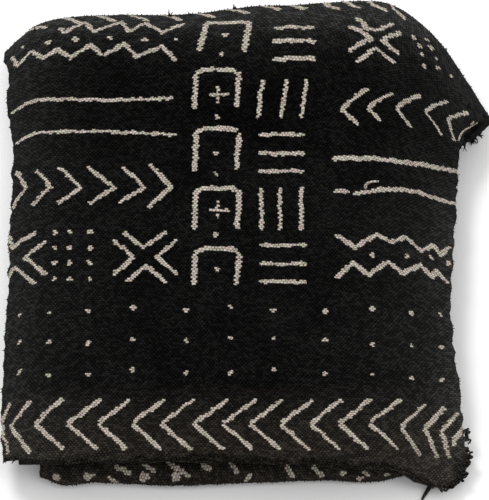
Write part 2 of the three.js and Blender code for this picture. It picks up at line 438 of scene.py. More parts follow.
def stack_row(length, side):
    """The places of one row of the sheet in the undrooped stack. The lower quarters have their own limbs."""
    across = side["across"]
    sideways = 0
    lower_share = 0 if length["quarter"] == "top" else 1
    if length["quarter"]:
        quarter = QUARTERS[length["quarter"]]
        y = mix(end_value(quarter["front"], side), back_end(length, side), length["along"])
        height = quarter["height"] + quarter["inward"] * side["depth"]
    else:
        fold = FOLDS[length["fold"]]
        half = fold["half"] + fold["inward"] * side["depth"]
        reach = (half + fold["extra"] * end_value("round", side)) * math.sin(length["turn"])
        facing = np.radians(end_value("facing", side))
        if length["fold"] == "front":
            y = end_value("lower", side) - reach
        else:
            y = back_end(length, side) + reach * np.cos(facing)
            sideways = reach * np.sin(facing)
        height = fold["middle"] + fold["down"] * half * math.cos(length["turn"])
        if length["fold"] == "outer_back":
            lower_share = (1 - math.cos(length["turn"])) / 2
    left, right = (
        mix(
            table_value(TOP_LIMBS, "along", limb, length["along"]),
            table_value(LOWER_LIMBS, "along", limb, length["along"]),
            lower_share,
        )
        for limb in ("left", "right")
    )
    x = mix(left, right, across) + side["outward"] + sideways
    return np.stack([x, y + 0 * x, height + 0 * x], axis=-1)


def droop_at(x, y):
    """How far the top quarter comes down at a place, which the quarters under it follow by their height."""
    left = clamp01((STACK_LEFT + LEFT_DROOP["reach"] - x) / LEFT_DROOP["reach"]) ** 2
    right_share = np.maximum(0, (x - STACK_RIGHT + RIGHT_DROOP["reach"]) / RIGHT_DROOP["reach"]) ** 2
    right = right_share / (1 + RIGHT_DROOP["easing"] * right_share)
    front = clamp01(1 - y / FRONT_DROOP["reach"]) ** 2
    corner_distance = np.hypot(x - CORNER_DROOP["x"], y - CORNER_DROOP["y"])
    corner_share = clamp01(1 - corner_distance / CORNER_DROOP["reach"])
    corner = corner_share * corner_share * (3 - 2 * corner_share)
    sides = LEFT_DROOP["drop"] * left + RIGHT_DROOP["drop"] * right
    total = sides + FRONT_DROOP["drop"] * front + CORNER_DROOP["drop"] * corner
    blend = clamp01(0.5 + (total - LOWEST_DROP) / (2 * LOWEST_BLEND))
    lowered = mix(total, LOWEST_DROP, blend) - LOWEST_BLEND * blend * (1 - blend)
    ear_share = clamp01(1 - np.hypot(x - EAR["x"], y - EAR["y"]) / EAR["reach"])
    return lowered * (1 - EAR["relief"] * ear_share * ear_share * (3 - 2 * ear_share))


def wave_at(x, y):
    total = 0 * x
    for wave in WAVES:
        distance = x * math.cos(wave["turn"]) + y * math.sin(wave["turn"])
        total = total + wave["height"] * np.sin(2 * np.pi * distance / wave["length"] + wave["start"])
    return total


def sheet_middle(side, lengths):
    """The middle of the sheet as a grid of points, a row for each station along the length."""
    places = np.array([stack_row(length, side) for length in lengths])
    x, y, height = places[..., 0], places[..., 1], places[..., 2]
    lowered = height - droop_at(x, y) * clamp01(height / DROOPS_ABOVE) + wave_at(x, y) * height / TOP_FACE
    return np.stack([x, y, lowered + HALF_THICKNESS], axis=-1)


def grid_normals(points):
    """Unit normals of a grid of points, out of the painted face."""
    padded = np.pad(points, ((1, 1), (1, 1), (0, 0)), mode="edge")
    along_x = padded[1:-1, 2:] - padded[1:-1, :-2]
    along_y = padded[2:, 1:-1] - padded[:-2, 1:-1]
    normals = np.cross(along_x, along_y)
    return normals / np.linalg.norm(normals, axis=-1, keepdims=True)


def to_frame(points):
    """Table millimetres to metres in the frame."""
    return (points - np.array([STACK_MIDDLE_X, STACK_MIDDLE_Y, 0])) * MM


def sheet_faces(rows, across):
    """The quads of a closed sheet: its painted side, its other side and its rims."""
    outer = np.arange(rows * across).reshape(rows, across)
    inner = outer + rows * across

    def quads(a, b, c, d):
        return np.stack([a.ravel(), b.ravel(), c.ravel(), d.ravel()], axis=-1)

    faces = [
        quads(outer[:-1, :-1], outer[:-1, 1:], outer[1:, 1:], outer[1:, :-1]),
        quads(inner[:-1, :-1], inner[1:, :-1], inner[1:, 1:], inner[:-1, 1:]),
        quads(outer[0, :-1], inner[0, :-1], inner[0, 1:], outer[0, 1:]),
        quads(outer[-1, 1:], inner[-1, 1:], inner[-1, :-1], outer[-1, :-1]),
        quads(outer[1:, 0], inner[1:, 0], inner[:-1, 0], outer[:-1, 0]),
        quads(outer[:-1, -1], inner[:-1, -1], inner[1:, -1], outer[1:, -1]),
    ]
    return np.concatenate(faces)


def mesh_object(name, vertices, faces):
    """A smooth mesh object of quads."""
    mesh = bpy.data.meshes.new(name)
    mesh.vertices.add(len(vertices))
    mesh.vertices.foreach_set("co", np.asarray(vertices, np.float32).ravel())
    mesh.loops.add(faces.size)
    mesh.loops.foreach_set("vertex_index", faces.astype(np.int32).ravel())
    mesh.polygons.add(len(faces))
    mesh.polygons.foreach_set("loop_start", np.arange(0, faces.size, faces.shape[1], dtype=np.int32))
    mesh.update(calc_edges=True)
    mesh.shade_smooth()
    thing = bpy.data.objects.new(name, mesh)
    bpy.context.scene.collection.objects.link(thing)
    return thing


# Pairs of neighbours on a grid: beside, ahead and the two diagonals.
NEIGHBOURS = (
    ((slice(None), slice(None, -1)), (slice(None), slice(1, None))),
    ((slice(None, -1), slice(None)), (slice(1, None), slice(None))),
    ((slice(None, -1), slice(None, -1)), (slice(1, None), slice(1, None))),
    ((slice(None, -1), slice(1, None)), (slice(1, None), slice(None, -1))),
)


def spring_rounds(flat, lengths, rounds):
    """Moves flat places until the distances between neighbours come near to these lengths."""
    flat = flat.copy()
    for _ in range(rounds):
        moves = np.zeros_like(flat)
        for (a, b), length in zip(NEIGHBOURS, lengths):
            away = flat[b] - flat[a]
            now = np.linalg.norm(away, axis=-1)
            pull = away * ((now - length) / np.maximum(now, NEARLY_ZERO))[..., None]
            moves[a] += pull
            moves[b] -= pull
        flat += moves * RELAX_STEP
    return flat


def relaxed_coarse(flat, points, rows, across):
    """Flat places of every few grid lines, from their lengths along the surface between those lines."""
    along_u = np.zeros(points.shape[:2])
    along_u[:, 1:] = np.cumsum(np.linalg.norm(np.diff(points, axis=1), axis=-1), axis=1)
    along_v = np.zeros(points.shape[:2])
    along_v[1:] = np.cumsum(np.linalg.norm(np.diff(points, axis=0), axis=-1), axis=0)
    length_u = np.diff(along_u[np.ix_(rows, across)], axis=1)
    length_v = np.diff(along_v[np.ix_(rows, across)], axis=0)
    step_u = np.gradient(points, axis=1)
    step_v = np.gradient(points, axis=0)
    steps = np.linalg.norm(step_u, axis=-1) * np.linalg.norm(step_v, axis=-1)
    slant = (step_u * step_v).sum(-1) / (steps + TINY)
    slant = slant[np.ix_(rows, across)][:-1, :-1]
    a, b = length_u[:-1], length_v[:, :-1]
    rising = np.sqrt(np.maximum(a * a + b * b + 2 * a * b * slant, NEARLY_ZERO))
    falling = np.sqrt(np.maximum(a * a + b * b - 2 * a * b * slant, NEARLY_ZERO))
    return spring_rounds(flat, (length_u, length_v, rising, falling), COARSE_ROUNDS)


def flat_layout(points):
    """Places of the grid on the unfolded cloth, with lengths as in the folded one, first coarse then fine."""
    rows = np.unique(np.append(np.arange(0, points.shape[0], RELAX_STRIDE), points.shape[0] - 1))
    across = np.unique(np.append(np.arange(0, points.shape[1], RELAX_STRIDE), points.shape[1] - 1))
    step_across = np.median(np.linalg.norm(np.diff(points, axis=1), axis=-1), axis=0)
    step_along = np.median(np.linalg.norm(np.diff(points, axis=0), axis=-1), axis=1)
    u = np.concatenate([[0], np.cumsum(step_across)])
    v = np.concatenate([[0], np.cumsum(step_along)])
    start = np.stack(np.meshgrid(u, v), axis=-1)
    coarse = relaxed_coarse(start[np.ix_(rows, across)], points, rows, across)
    shift = coarse - start[np.ix_(rows, across)]
    full = np.empty_like(start)
    for axis in range(2):
        by_row = np.array([np.interp(np.arange(points.shape[1]), across, line) for line in shift[..., axis]])
        full[..., axis] = np.array([np.interp(np.arange(points.shape[0]), rows, line) for line in by_row.T]).T
    lengths = [np.linalg.norm(points[b] - points[a], axis=-1) for a, b in NEIGHBOURS]
    return spring_rounds(start + full, lengths, FINE_ROUNDS)


def value_noise(x, y, cell, seed):
    """Smooth noise from -1 to 1 with bumps of that size, the same each run."""
    lattice = np.random.default_rng(seed).uniform(-1, 1, (NOISE_LATTICE, NOISE_LATTICE))
    column, row = np.floor(x / cell).astype(int), np.floor(y / cell).astype(int)
    share_x, share_y = x / cell - column, y / cell - row
    share_x, share_y = (share * share * (3 - 2 * share) for share in (share_x, share_y))

    def corner(i, j):
        return lattice[(row + j) % NOISE_LATTICE, (column + i) % NOISE_LATTICE]

    low = mix(corner(0, 0), corner(1, 0), share_x)
    high = mix(corner(0, 1), corner(1, 1), share_x)
    return mix(low, high, share_y)


def noise_sum(x, y, layers):
    return sum(share * value_noise(x, y, cell, seed) for share, cell, seed in layers)


def crumpled(points, flat):
    """The sheet with the small unevenness of handspun yarn, most of it along its front edge and its limbs."""
    u, v = flat[..., 0], flat[..., 1]
    bumps = SURFACE_BUMP * noise_sum(u, v, SURFACE_NOISE)
    points = points + grid_normals(points) * bumps[..., None]
    left_limb = FLAP_CELLS + SIDE_FOLD_CELLS // 2
    right_limb = left_limb + MIDDLE_CELLS + SIDE_FOLD_CELLS
    columns_away = np.arange(points.shape[1])[None, :]
    for limb, direction, layers in ((left_limb, -1, LEFT_LIMB_NOISE), (right_limb, 1, RIGHT_LIMB_NOISE)):
        near = np.exp(-(((columns_away - limb) / LIMB_BUMP_COLUMNS) ** 2))
        points[..., 0] += direction * LIMB_BUMP * near * noise_sum(v, 0 * v, layers)
    steps = np.linalg.norm(np.diff(points, axis=0), axis=-1)
    from_edge = np.concatenate([np.zeros((1, points.shape[1])), np.cumsum(steps, axis=0)])
    edge = np.exp(-from_edge / FRONT_EDGE_REACH)
    points[..., 1] += edge * FRONT_EDGE_RAGGED * noise_sum(u, 0 * u, FRONT_EDGE_NOISE)
    points[..., 2] += edge * FRONT_EDGE_LIFT * noise_sum(u, v, FRONT_LIFT_NOISE)
    points[..., 2] = np.maximum(points[..., 2], HALF_THICKNESS)
    return points


class Sheet:
    """The cloth as a grid of middle points, with the flat place of each grid line in millimetres."""

    def __init__(self):
        self.side = across_stations()
        self.length = along_stations()
        self.middle = sheet_middle(self.side, self.length)
        self.left_limb = FLAP_CELLS + SIDE_FOLD_CELLS
        self.flat = flat_layout(self.middle)
        self.flat -= self.flat[0, self.left_limb]
        self.middle = crumpled(self.middle, self.flat)
        self.normals = grid_normals(self.middle)
        self.face = self.middle + self.normals * HALF_THICKNESS
        self.back = self.middle - self.normals * HALF_THICKNESS

    def rows_of(self, *parts):
        """The numbers of the rows in these quarters and folds."""
        return [i for i, row in enumerate(self.length) if (row["quarter"] or row["fold"]) in parts]

    def facing(self):
        """How far each grid point turns its painted face to the camera, from -1 to 1."""
        return self.normals[..., 2] * math.sin(CAMERA_TILT) - self.normals[..., 1] * math.cos(CAMERA_TILT)

    def locate(self, seen, parts):
        """Finds points that the camera sees at these places on the level of the stack's top.
        Gives each as its place on the painted face, the normal there and its flat place."""
        rows = self.rows_of(*parts)
        used = slice(self.left_limb - SIDE_FOLD_CELLS // 2, self.left_limb + MIDDLE_CELLS + SIDE_FOLD_CELLS)
        wanted = (self.face, self.flat, self.normals, self.facing())
        surface, flat, normals, facing = (grid[rows][:, used] for grid in wanted)
        height = surface[..., 1] * math.sin(CAMERA_TILT) + surface[..., 2] * math.cos(CAMERA_TILT)
        grid = np.stack([surface[..., 0], height], axis=-1)
        found = []
        for x, y in seen:
            target = np.array([x, y * math.sin(CAMERA_TILT) + SEEN_LEVEL * math.cos(CAMERA_TILT)])
            distance = np.where(facing > SEEN_FACING, np.linalg.norm(grid - target, axis=-1), FAR_AWAY)
            j, i = np.unravel_index(np.argmin(distance), distance.shape)
            j0, j1 = max(j - 1, 0), min(j + 1, grid.shape[0] - 1)
            i0, i1 = max(i - 1, 0), min(i + 1, grid.shape[1] - 1)

            def steps(values):
                return np.stack([(values[j, i1] - values[j, i0]), (values[j1, i] - values[j0, i])], axis=-1)

            share = np.linalg.lstsq(steps(grid), target - grid[j, i], rcond=SOLVE_LIMIT)[0]
            share = np.clip(share, -CELL_REACH, CELL_REACH)
            place = surface[j, i] + steps(surface) @ share
            found.append((place, normals[j, i], flat[j, i] + steps(flat) @ share))
        return found

    def flat_places(self, seen, parts):
        return np.array([flat for _, _, flat in self.locate(seen, parts)])


class Chart:
    """Painted strokes, each a straight run between two flat places with its own half width."""

    def __init__(self, sheet):
        self.sheet = sheet
        self.runs = []
        self.random = np.random.default_rng(PAINT_SEED)

    def add_flat(self, points, half_width):
        for start, end in zip(points[:-1], points[1:]):
            self.runs.append((*start, *end, half_width))

    def flat_line(self, *places):
        """A stroke through these flat places, with a small waver of the hand."""
        self.add_flat(waver(places, self.random), STROKE_HALF_WIDTH)

    def line(self, *seen, parts=TOP_PARTS, half_width=STROKE_HALF_WIDTH):
        """A stroke through the places that are seen there, with a small waver of the hand."""
        places = self.sheet.flat_places(seen, parts)
        half_width = half_width * self.random.uniform(*STROKE_SHARE)
        places = waver(places, self.random)
        for end, inner in ((0, 1), (-1, -2)):
            inward = places[inner] - places[end]
            length = max(np.linalg.norm(inward), NEARLY_ZERO)
            places[end] = places[end] + inward / length * min(END_TRIM, length / 2)
        self.add_flat(places, half_width)
        return places

    def dot(self, x, y, parts=TOP_PARTS, radius=DOT_RADIUS):
        (place,) = self.sheet.flat_places([(x, y)], parts)
        stretch = self.random.uniform(-DOT_STRETCH, DOT_STRETCH, 2)
        self.add_flat([place - stretch, place + stretch], radius * self.random.uniform(*DOT_SHARE))

    def dots(self, xs, ys, **how):
        for x, y in zip(xs, ys):
            self.dot(x, y, **how)

    def array(self):
        return np.array(self.runs)


def waver(places, random):
    """The same run of places with points between them that stray a little to the side."""
    result = [places[0]]
    for start, end in zip(places[:-1], places[1:]):
        length = np.linalg.norm(end - start)
        pieces = max(1, int(round(length / WAVER_STEP)))
        aside = np.array([start[1] - end[1], end[0] - start[0]]) / max(length, NEARLY_ZERO)
        for i in range(1, pieces):
            result.append(mix(start, end, i / pieces) + aside * random.normal(0, WAVER_ASIDE))
        result.append(end)
    return np.array(result)


def paint_chevrons(chart, apexes, **how):
    """Chevrons from rows of numbers: the apex, then the tip of its upper and of its lower arm."""
    for apex_x, apex_y, upper_x, upper_y, lower_x, lower_y in apexes:
        chart.line((upper_x, upper_y), (apex_x, apex_y), **how)
        chart.line((apex_x, apex_y), (lower_x, lower_y), **how)


def paint_top_left(chart):
    """Two zigzags over the back left corner with dots between them, and the two double lines below."""
    back_left = ((-148, 441), (-144, 436), (-126, 446), (-119, 437), (-95, 447), (-89, 437))
    chart.line(*back_left, (-74, 446), (-60, 436), (-42, 445))
    front_left = ((-194, 402), (-189, 411), (-184, 402), (-172, 417), (-163, 409), (-150, 419))
    chart.line(*front_left, (-138, 410), (-121, 424), (-112, 413))
    chart.line((-110, 413), (-93, 425), (-82, 411), (-60, 422), (-48, 407))
    chart.dots((-180, -158, -134, -105, -75, -48), (421, 426, 429, 431, 429, 429))
    chart.line((-189, 354), (-176, 364), (-149, 368), (-102, 367), (-51, 369))
    chart.line((-185, 323), (-170, 333), (-149, 335), (-102, 335), (-48, 332))


def paint_left_chevrons(chart):
    middle = 279
    for apex, upper, lower in (
        (-176, (-185, 295), (-187, 257)),
        (-155, (-167, 296), (-170, 261)),
        (-129, (-148, 299), (-149, 262)),
        (-100, (-123, 299), (-122, 262)),
        (-75, (-94, 300), (-96, 263)),
        (-52, (-71, 302), (-71, 259)),
    ):
        chart.line(upper, (apex, middle), lower)


def paint_cross(chart, x, y, half_width, half_height, gap):
    """Four chevrons that point at one place, each with its apex at that gap from the middle."""
    across = half_width * 0.68
    up = half_height * 0.68
    chart.line((x - across, y + half_height), (x - 1, y + gap), (x + across, y + half_height))
    chart.line((x - across + 2, y - half_height), (x + 1, y - gap + 1), (x + across, y - half_height - 1))
    chart.line((x - half_width, y + up), (x - gap, y), (x - half_width, y - up - 1))
    chart.line((x + half_width, y + up), (x + gap, y), (x + half_width, y - up))


def paint_cross_row(chart):
    paint_cross(chart, -186, 208, 28, 25, 10)
    paint_cross(chart, -74, 209, 27, 25, 10)
    for x in (-151, -138, -121):
        for y in (234, 218, 203, 187):
            chart.dot(x, y)


def paint_open_squares(chart):
    """The column of squares that are open below, with a dot or a plus sign in or under each."""
    sides = [((-28, 418), (-22, 445)), ((-22, 446), (15, 446)), ((15, 446), (10, 417))]
    for top, bottom, right_top, right_bottom in (
        (396, 359, 395, 361),
        (336, 296, 333, 297),
        (276, 237, 276, 238),
        (215, 181, 213, 182),
    ):
        sides.append(((-32, bottom), (-31, top - 2)))
        sides.append(((-31, top - 2), (-25, top + 2), (0, top + 2), (4, top)))
        sides.append(((6, right_top), (4, right_bottom)))
    for side in sides:
        chart.line(*side, half_width=SQUARE_HALF_WIDTH)
    chart.dots((-6, -9, -13, -14, -14, -14, -13), (434, 414, 350, 313, 292, 231, 196))
    for y in (373, 256):
        chart.line((-20, y), (-2, y), half_width=PLUS_HALF_WIDTH)
        chart.line((-12, y + 9), (-12, y - 9), half_width=PLUS_HALF_WIDTH)


def paint_line_sets(chart):
    """Sets of three strokes, laid across and along in turn."""
    for left, right, ys in ((35, 71, (441, 427, 409)), (23, 61, (332, 313, 295)), (24, 63, (221, 202, 184))):
        for y in ys:
            chart.line((left, y), (right, y))
    for xs, top, bottom, slant in (((27, 47, 64), 388, 349, 5), ((25, 41, 59), 279, 236, 0)):
        for x in xs:
            chart.line((x, top), (x - slant, bottom))


def paint_top_right(chart):
    chart.line((107, 451), (115, 441), (124, 438), (138, 445))
    chart.line((101, 442), (119, 430), (100, 417))
    chart.line((145, 436), (129, 428), (143, 414))
    chart.line((106, 406), (124, 420), (139, 405))
    xs = (156, 161, 163, 165, 168, 171, 175, 177, 188)
    chart.dots(xs, (432, 423, 414, 402, 429, 421, 410, 400, 392))
    paint_chevrons(
        chart,
        (
            (93, 358, 116, 378, 108, 342),
            (116, 359, 137, 374, 127, 346),
            (141, 359, 161, 372, 153, 340),
            (165, 356, 185, 366, 179, 332),
            (185, 347, 202, 354, 190, 326),
        ),
    )


def paint_right_lines(chart):
    chart.line((86, 308), (127, 307), (146, 304), (173, 299), (195, 293), half_width=BROAD_HALF_WIDTH)
    chart.line((88, 274), (93, 276), (99, 274))
    chart.line((104, 272), (160, 274), (173, 268), (195, 260), half_width=BROAD_HALF_WIDTH)


def paint_right_zigzags(chart):
    xs = (89, 105, 123, 136, 147, 161, 171, 178, 185)
    ys = (231, 218, 231, 224, 229, 215, 221, 211, 219)
    chart.line(*zip(xs, ys), half_width=BROAD_HALF_WIDTH)
    xs = (89, 103, 117, 133, 145, 160, 170, 174, 184)
    ys = (189, 203, 191, 204, 192, 201, 189, 195, 183)
    chart.line(*zip(xs, ys), half_width=BROAD_HALF_WIDTH)
    chart.dots((119, 149, 170, 184), (211, 210, 208, 203))


def paint_dot_rows(chart):
    xs = (-180, -155, -122, -84, -39, -1, 35, 79, 119, 152, 177)
    chart.dots(xs, (151, 153, 155, 158, 155, 159, 156, 154, 157, 153, 151))
    chart.dots(xs, (124, 124, 123, 127, 126, 128, 128, 126, 122, 121, 119))
    chart.dots(xs, (94, 91, 92, 96, 93, 94, 97, 93, 92, 88, 86))


def paint_front_border(chart):
    """The chevrons along the front edge, whose arms reach to the right."""
    for apex in (-139, -113, -84, -60, -32, -8, 15, 41, 66, 90, 116):
        far = apex + chart.random.uniform(26, 29)
        chart.line((far, 67), (apex + 1, 44))
        chart.line((apex, 43), (far - 3, 18))
    paint_chevrons(
        chart,
        (
            (-195, 42, -188, 63, -189, 13),
            (-187, 40, -170, 65, -170, 14),
            (-166, 42, -143, 68, -142, 18),
            (143, 39, 163, 62, 159, 12),
            (163, 38, 180, 59, 174, 9),
            (177, 35, 192, 54, 184, 8),
        ),
    )
    chart.line((196, 40), (189, 29), (187, 21))


def paint_back_border(chart):
    """The same border on the back fold, of which the lower arms' ends reach over the top."""
    rows = []
    for left, right, top, bottom in (
        (-1, 14, 460, 456),
        (29, 41, 463, 459),
        (53, 64, 463, 460),
        (82, 92, 463, 460),
        (102, 111, 464, 461),
        (120, 133, 464, 458),
        (138, 149, 461, 450),
    ):
        rows.append(chart.line((left, top), (right, bottom)))
    for places in rows:
        upper, tip = places[0], places[-1]
        apex = tip + np.array([-BORDER_ARM, BORDER_ARM])
        chart.flat_line(upper, apex)
        chart.flat_line(apex, apex + BORDER_ARM)
    first_apex = rows[0][-1] + np.array([-BORDER_ARM, BORDER_ARM])
    for number in range(1, 7):
        apex = first_apex - np.array([BORDER_STEP * number, 0])
        chart.flat_line(apex + (BORDER_ARM, -BORDER_ARM), apex)
        chart.flat_line(apex, apex + BORDER_ARM)


def paint_bottom(chart):
    """Plain repeats of the motifs on the quarter that the stack lies on, by their flat places."""
    start, end = (chart.sheet.flat[chart.sheet.rows_of("bottom")[i], chart.sheet.left_limb] for i in (0, -1))
    for share in (0.16, 0.24, 0.32):
        for u in range(20, 330, 36):
            place = np.array([start[0] + u, mix(start[1], end[1], share)])
            chart.add_flat([place, place + 1], DOT_RADIUS)
    for share in (0.42, 0.47, 0.52):
        for u in (20, 180):
            place = np.array([start[0] + u, mix(start[1], end[1], share)])
            chart.flat_line(place, place + (120, 0))
    for share in (0.62, 0.7):
        corners = [(start[0] + 16 + 14 * i, mix(start[1], end[1], share) + 10 * (i % 2)) for i in range(22)]
        chart.flat_line(*np.array(corners))
    for u in range(20, 320, 26):
        apex = np.array([start[0] + u, mix(start[1], end[1], 0.85)])
        for side in (-1, 1):
            chart.flat_line(apex, apex + (22, 24 * side))


def paint_front_fold(chart):
    """Ends of strokes on the rounded front of the lower quarters."""
    for left, right, top, bottom in (
        (-99, -85, 1, -7),
        (-104, -95, -10, -21),
        (-75, -65, 3, -4),
        (-55, -36, 5, -10),
        (-26, -18, 3, -3),
        (-2, 5, 3, -7),
        (11, 16, -15, -7),
        (46, 53, 2, -11),
        (68, 77, 1, -10),
        (111, 116, -4, -10),
    ):
        chart.line((left, top), (right, bottom), parts=FRONT_PARTS)
    for x, y, radius in (
        (-149, -10, 2.6),
        (-122, -10, 3.8),
        (-75, -11, 3.8),
        (-48, -10, 3.2),
        (93, -6, 2.4),
        (107, -12, 2.2),
        (130, -8, 2.2),
    ):
        chart.dot(x, y, parts=FRONT_PARTS, radius=radius)
        chart.dot(x + radius, y + 1, parts=FRONT_PARTS, radius=radius / 2)


def painted_chart(sheet):
    chart = Chart(sheet)
    paint_top_left(chart)
    paint_left_chevrons(chart)
    paint_cross_row(chart)
    paint_open_squares(chart)
    paint_line_sets(chart)
    paint_top_right(chart)
    paint_right_lines(chart)
    paint_right_zigzags(chart)
    paint_dot_rows(chart)
    paint_front_border(chart)
    paint_back_border(chart)
    paint_front_fold(chart)
    paint_bottom(chart)
    return chart.array()


def set_vectors(mesh, name, domain, values):
    attribute = mesh.attributes.new(name, "FLOAT_VECTOR", domain)
    attribute.data.foreach_set("vector", values.astype(np.float32).ravel())


def set_places(mesh, flat, points):
    """Flat places of the vertices in millimetres, which the weave follows, and their painted light and brown.
    """
    set_vectors(mesh, "flat_place", "POINT", np.concatenate([flat, np.zeros((len(flat), 1))], axis=1))
    set_vectors(mesh, "painted_light_and_brown", "POINT", painted_light_and_brown_at(points))


def set_strokes(mesh, faces, flat, strokes):
    """For each face, its nearest strokes: how far each corner is aside of and along the stroke's middle, half
    the stroke's length, its direction and its half width, in millimetres."""
    painted = (faces < len(flat)).all(axis=1)
    corners = flat[np.where(painted[:, None], faces, 0)]
    centres = corners.mean(axis=1)
    start, end, half_width = strokes[:, 0:2], strokes[:, 2:4], strokes[:, 4]
    middle = (start + end) / 2
    length = np.linalg.norm(end - start, axis=1)
    along = (end - start) / np.maximum(length, NEARLY_ZERO)[:, None]
    aside = np.stack([-along[:, 1], along[:, 0]], axis=1)
    nearest = np.zeros((len(faces), STROKES_A_FACE), int)
    for first in range(0, len(faces), FACES_AT_ONCE):
        away = centres[first : first + FACES_AT_ONCE, None, :] - middle[None]
        over = np.maximum(np.abs((away * along).sum(-1)) - length / 2, 0)
        distance = np.hypot(over, (away * aside).sum(-1)) - half_width
        nearest[first : first + FACES_AT_ONCE] = np.argsort(distance, axis=1)[:, :STROKES_A_FACE]
    for number in range(STROKES_A_FACE):
        stroke = nearest[:, number]
        away = corners - middle[stroke][:, None, :]
        s = (away * aside[stroke][:, None, :]).sum(-1)
        t = (away * along[stroke][:, None, :]).sum(-1)
        half_length = np.broadcast_to(length[stroke][:, None] / 2, s.shape)
        values = np.stack([s, t, half_length], axis=-1)
        values[~painted] = UNPAINTED
        brush = np.concatenate([along[stroke], half_width[stroke][:, None]], axis=1)
        set_vectors(mesh, f"stroke_{number}", "CORNER", values)
        set_vectors(mesh, f"brush_{number}", "CORNER", np.repeat(brush[:, None, :], s.shape[1], axis=1))


def faded(distance, most, reach):
    return most * np.exp(-np.maximum(distance, 0) / reach)


def share_at(x, y, area):
    """How far a place lies in an area that begins at an x and a y and blends in over some distance."""
    return ramp(x, area["x"], area["over_x"]) * ramp(y, area["y"], area["over_y"])


def painted_light_and_brown_at(points):
    """Painted sheen and shade on the black, its brown tint, and painted shade on the low front fold's paint.
    """
    x, y, height = points[..., 0], points[..., 1], points[..., 2]
    # Painted sheen: the black is painted lighter towards the left and right limbs and the back fold.
    right = sum(faded(STACK_RIGHT - x, *wear) for wear in RIGHT_PAINTED_SHEEN)
    right *= 1 - RIGHT_PAINTED_SHEEN_LESS["share"] * ramp(y, RIGHT_PAINTED_SHEEN_LESS["start"], RIGHT_PAINTED_SHEEN_LESS["over"])
    sheen_grey = faded(x - STACK_LEFT, *LEFT_PAINTED_SHEEN) + right + faded(BACK_PAINTED_SHEEN_FROM - y, *BACK_PAINTED_SHEEN)
    # Painted shade: a band across the back of the top is painted darker.
    sheen_grey -= PAINTED_SHADE_BAND["less"] * np.exp(-(((y - PAINTED_SHADE_BAND["y"]) / PAINTED_SHADE_BAND["reach"]) ** 2))
    front = ramp(y, FRONT_BROWN["start"], FRONT_BROWN["over"])
    brown = FRONT_BROWN["most"] * front ** FRONT_BROWN["power"]
    corner = share_at(x, y, CORNER)
    rim = share_at(x, y, RAW_RIM)
    brown = (brown + CORNER["brown"] * corner) * (1 - RAW_RIM["brown"] * rim)
    sheen_grey *= (1 - CORNER["sheen_grey"] * corner) * (1 - RAW_RIM["sheen_grey"] * rim)
    # Painted shade on the paint of the low front parts, under the top quarter's front edge.
    paint_shade = FRONT_PAINT_SHADE["most"] * ramp(y, FRONT_PAINT_SHADE["y"], FRONT_PAINT_SHADE["over_y"])
    paint_shade = paint_shade * ramp(height, FRONT_PAINT_SHADE["height"], FRONT_PAINT_SHADE["over_height"])
    return np.stack([sheen_grey, brown, paint_shade], axis=-1)


def make_cloth(sheet, strokes, material):
    rows, across = sheet.middle.shape[:2]
    vertices = np.concatenate([sheet.face.reshape(-1, 3), sheet.back.reshape(-1, 3)])
    vertices[:, 2] = np.maximum(vertices[:, 2], 0)
    faces = sheet_faces(rows, across)
    cloth = mesh_object("mud_cloth", to_frame(vertices), faces)
    flat = sheet.flat.reshape(-1, 2)
    set_places(cloth.data, np.concatenate([flat, flat]), vertices)
    set_strokes(cloth.data, faces, flat, strokes)
    cloth.data.materials.append(material)
    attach(cloth, "root")
    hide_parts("cloth")
    return cloth


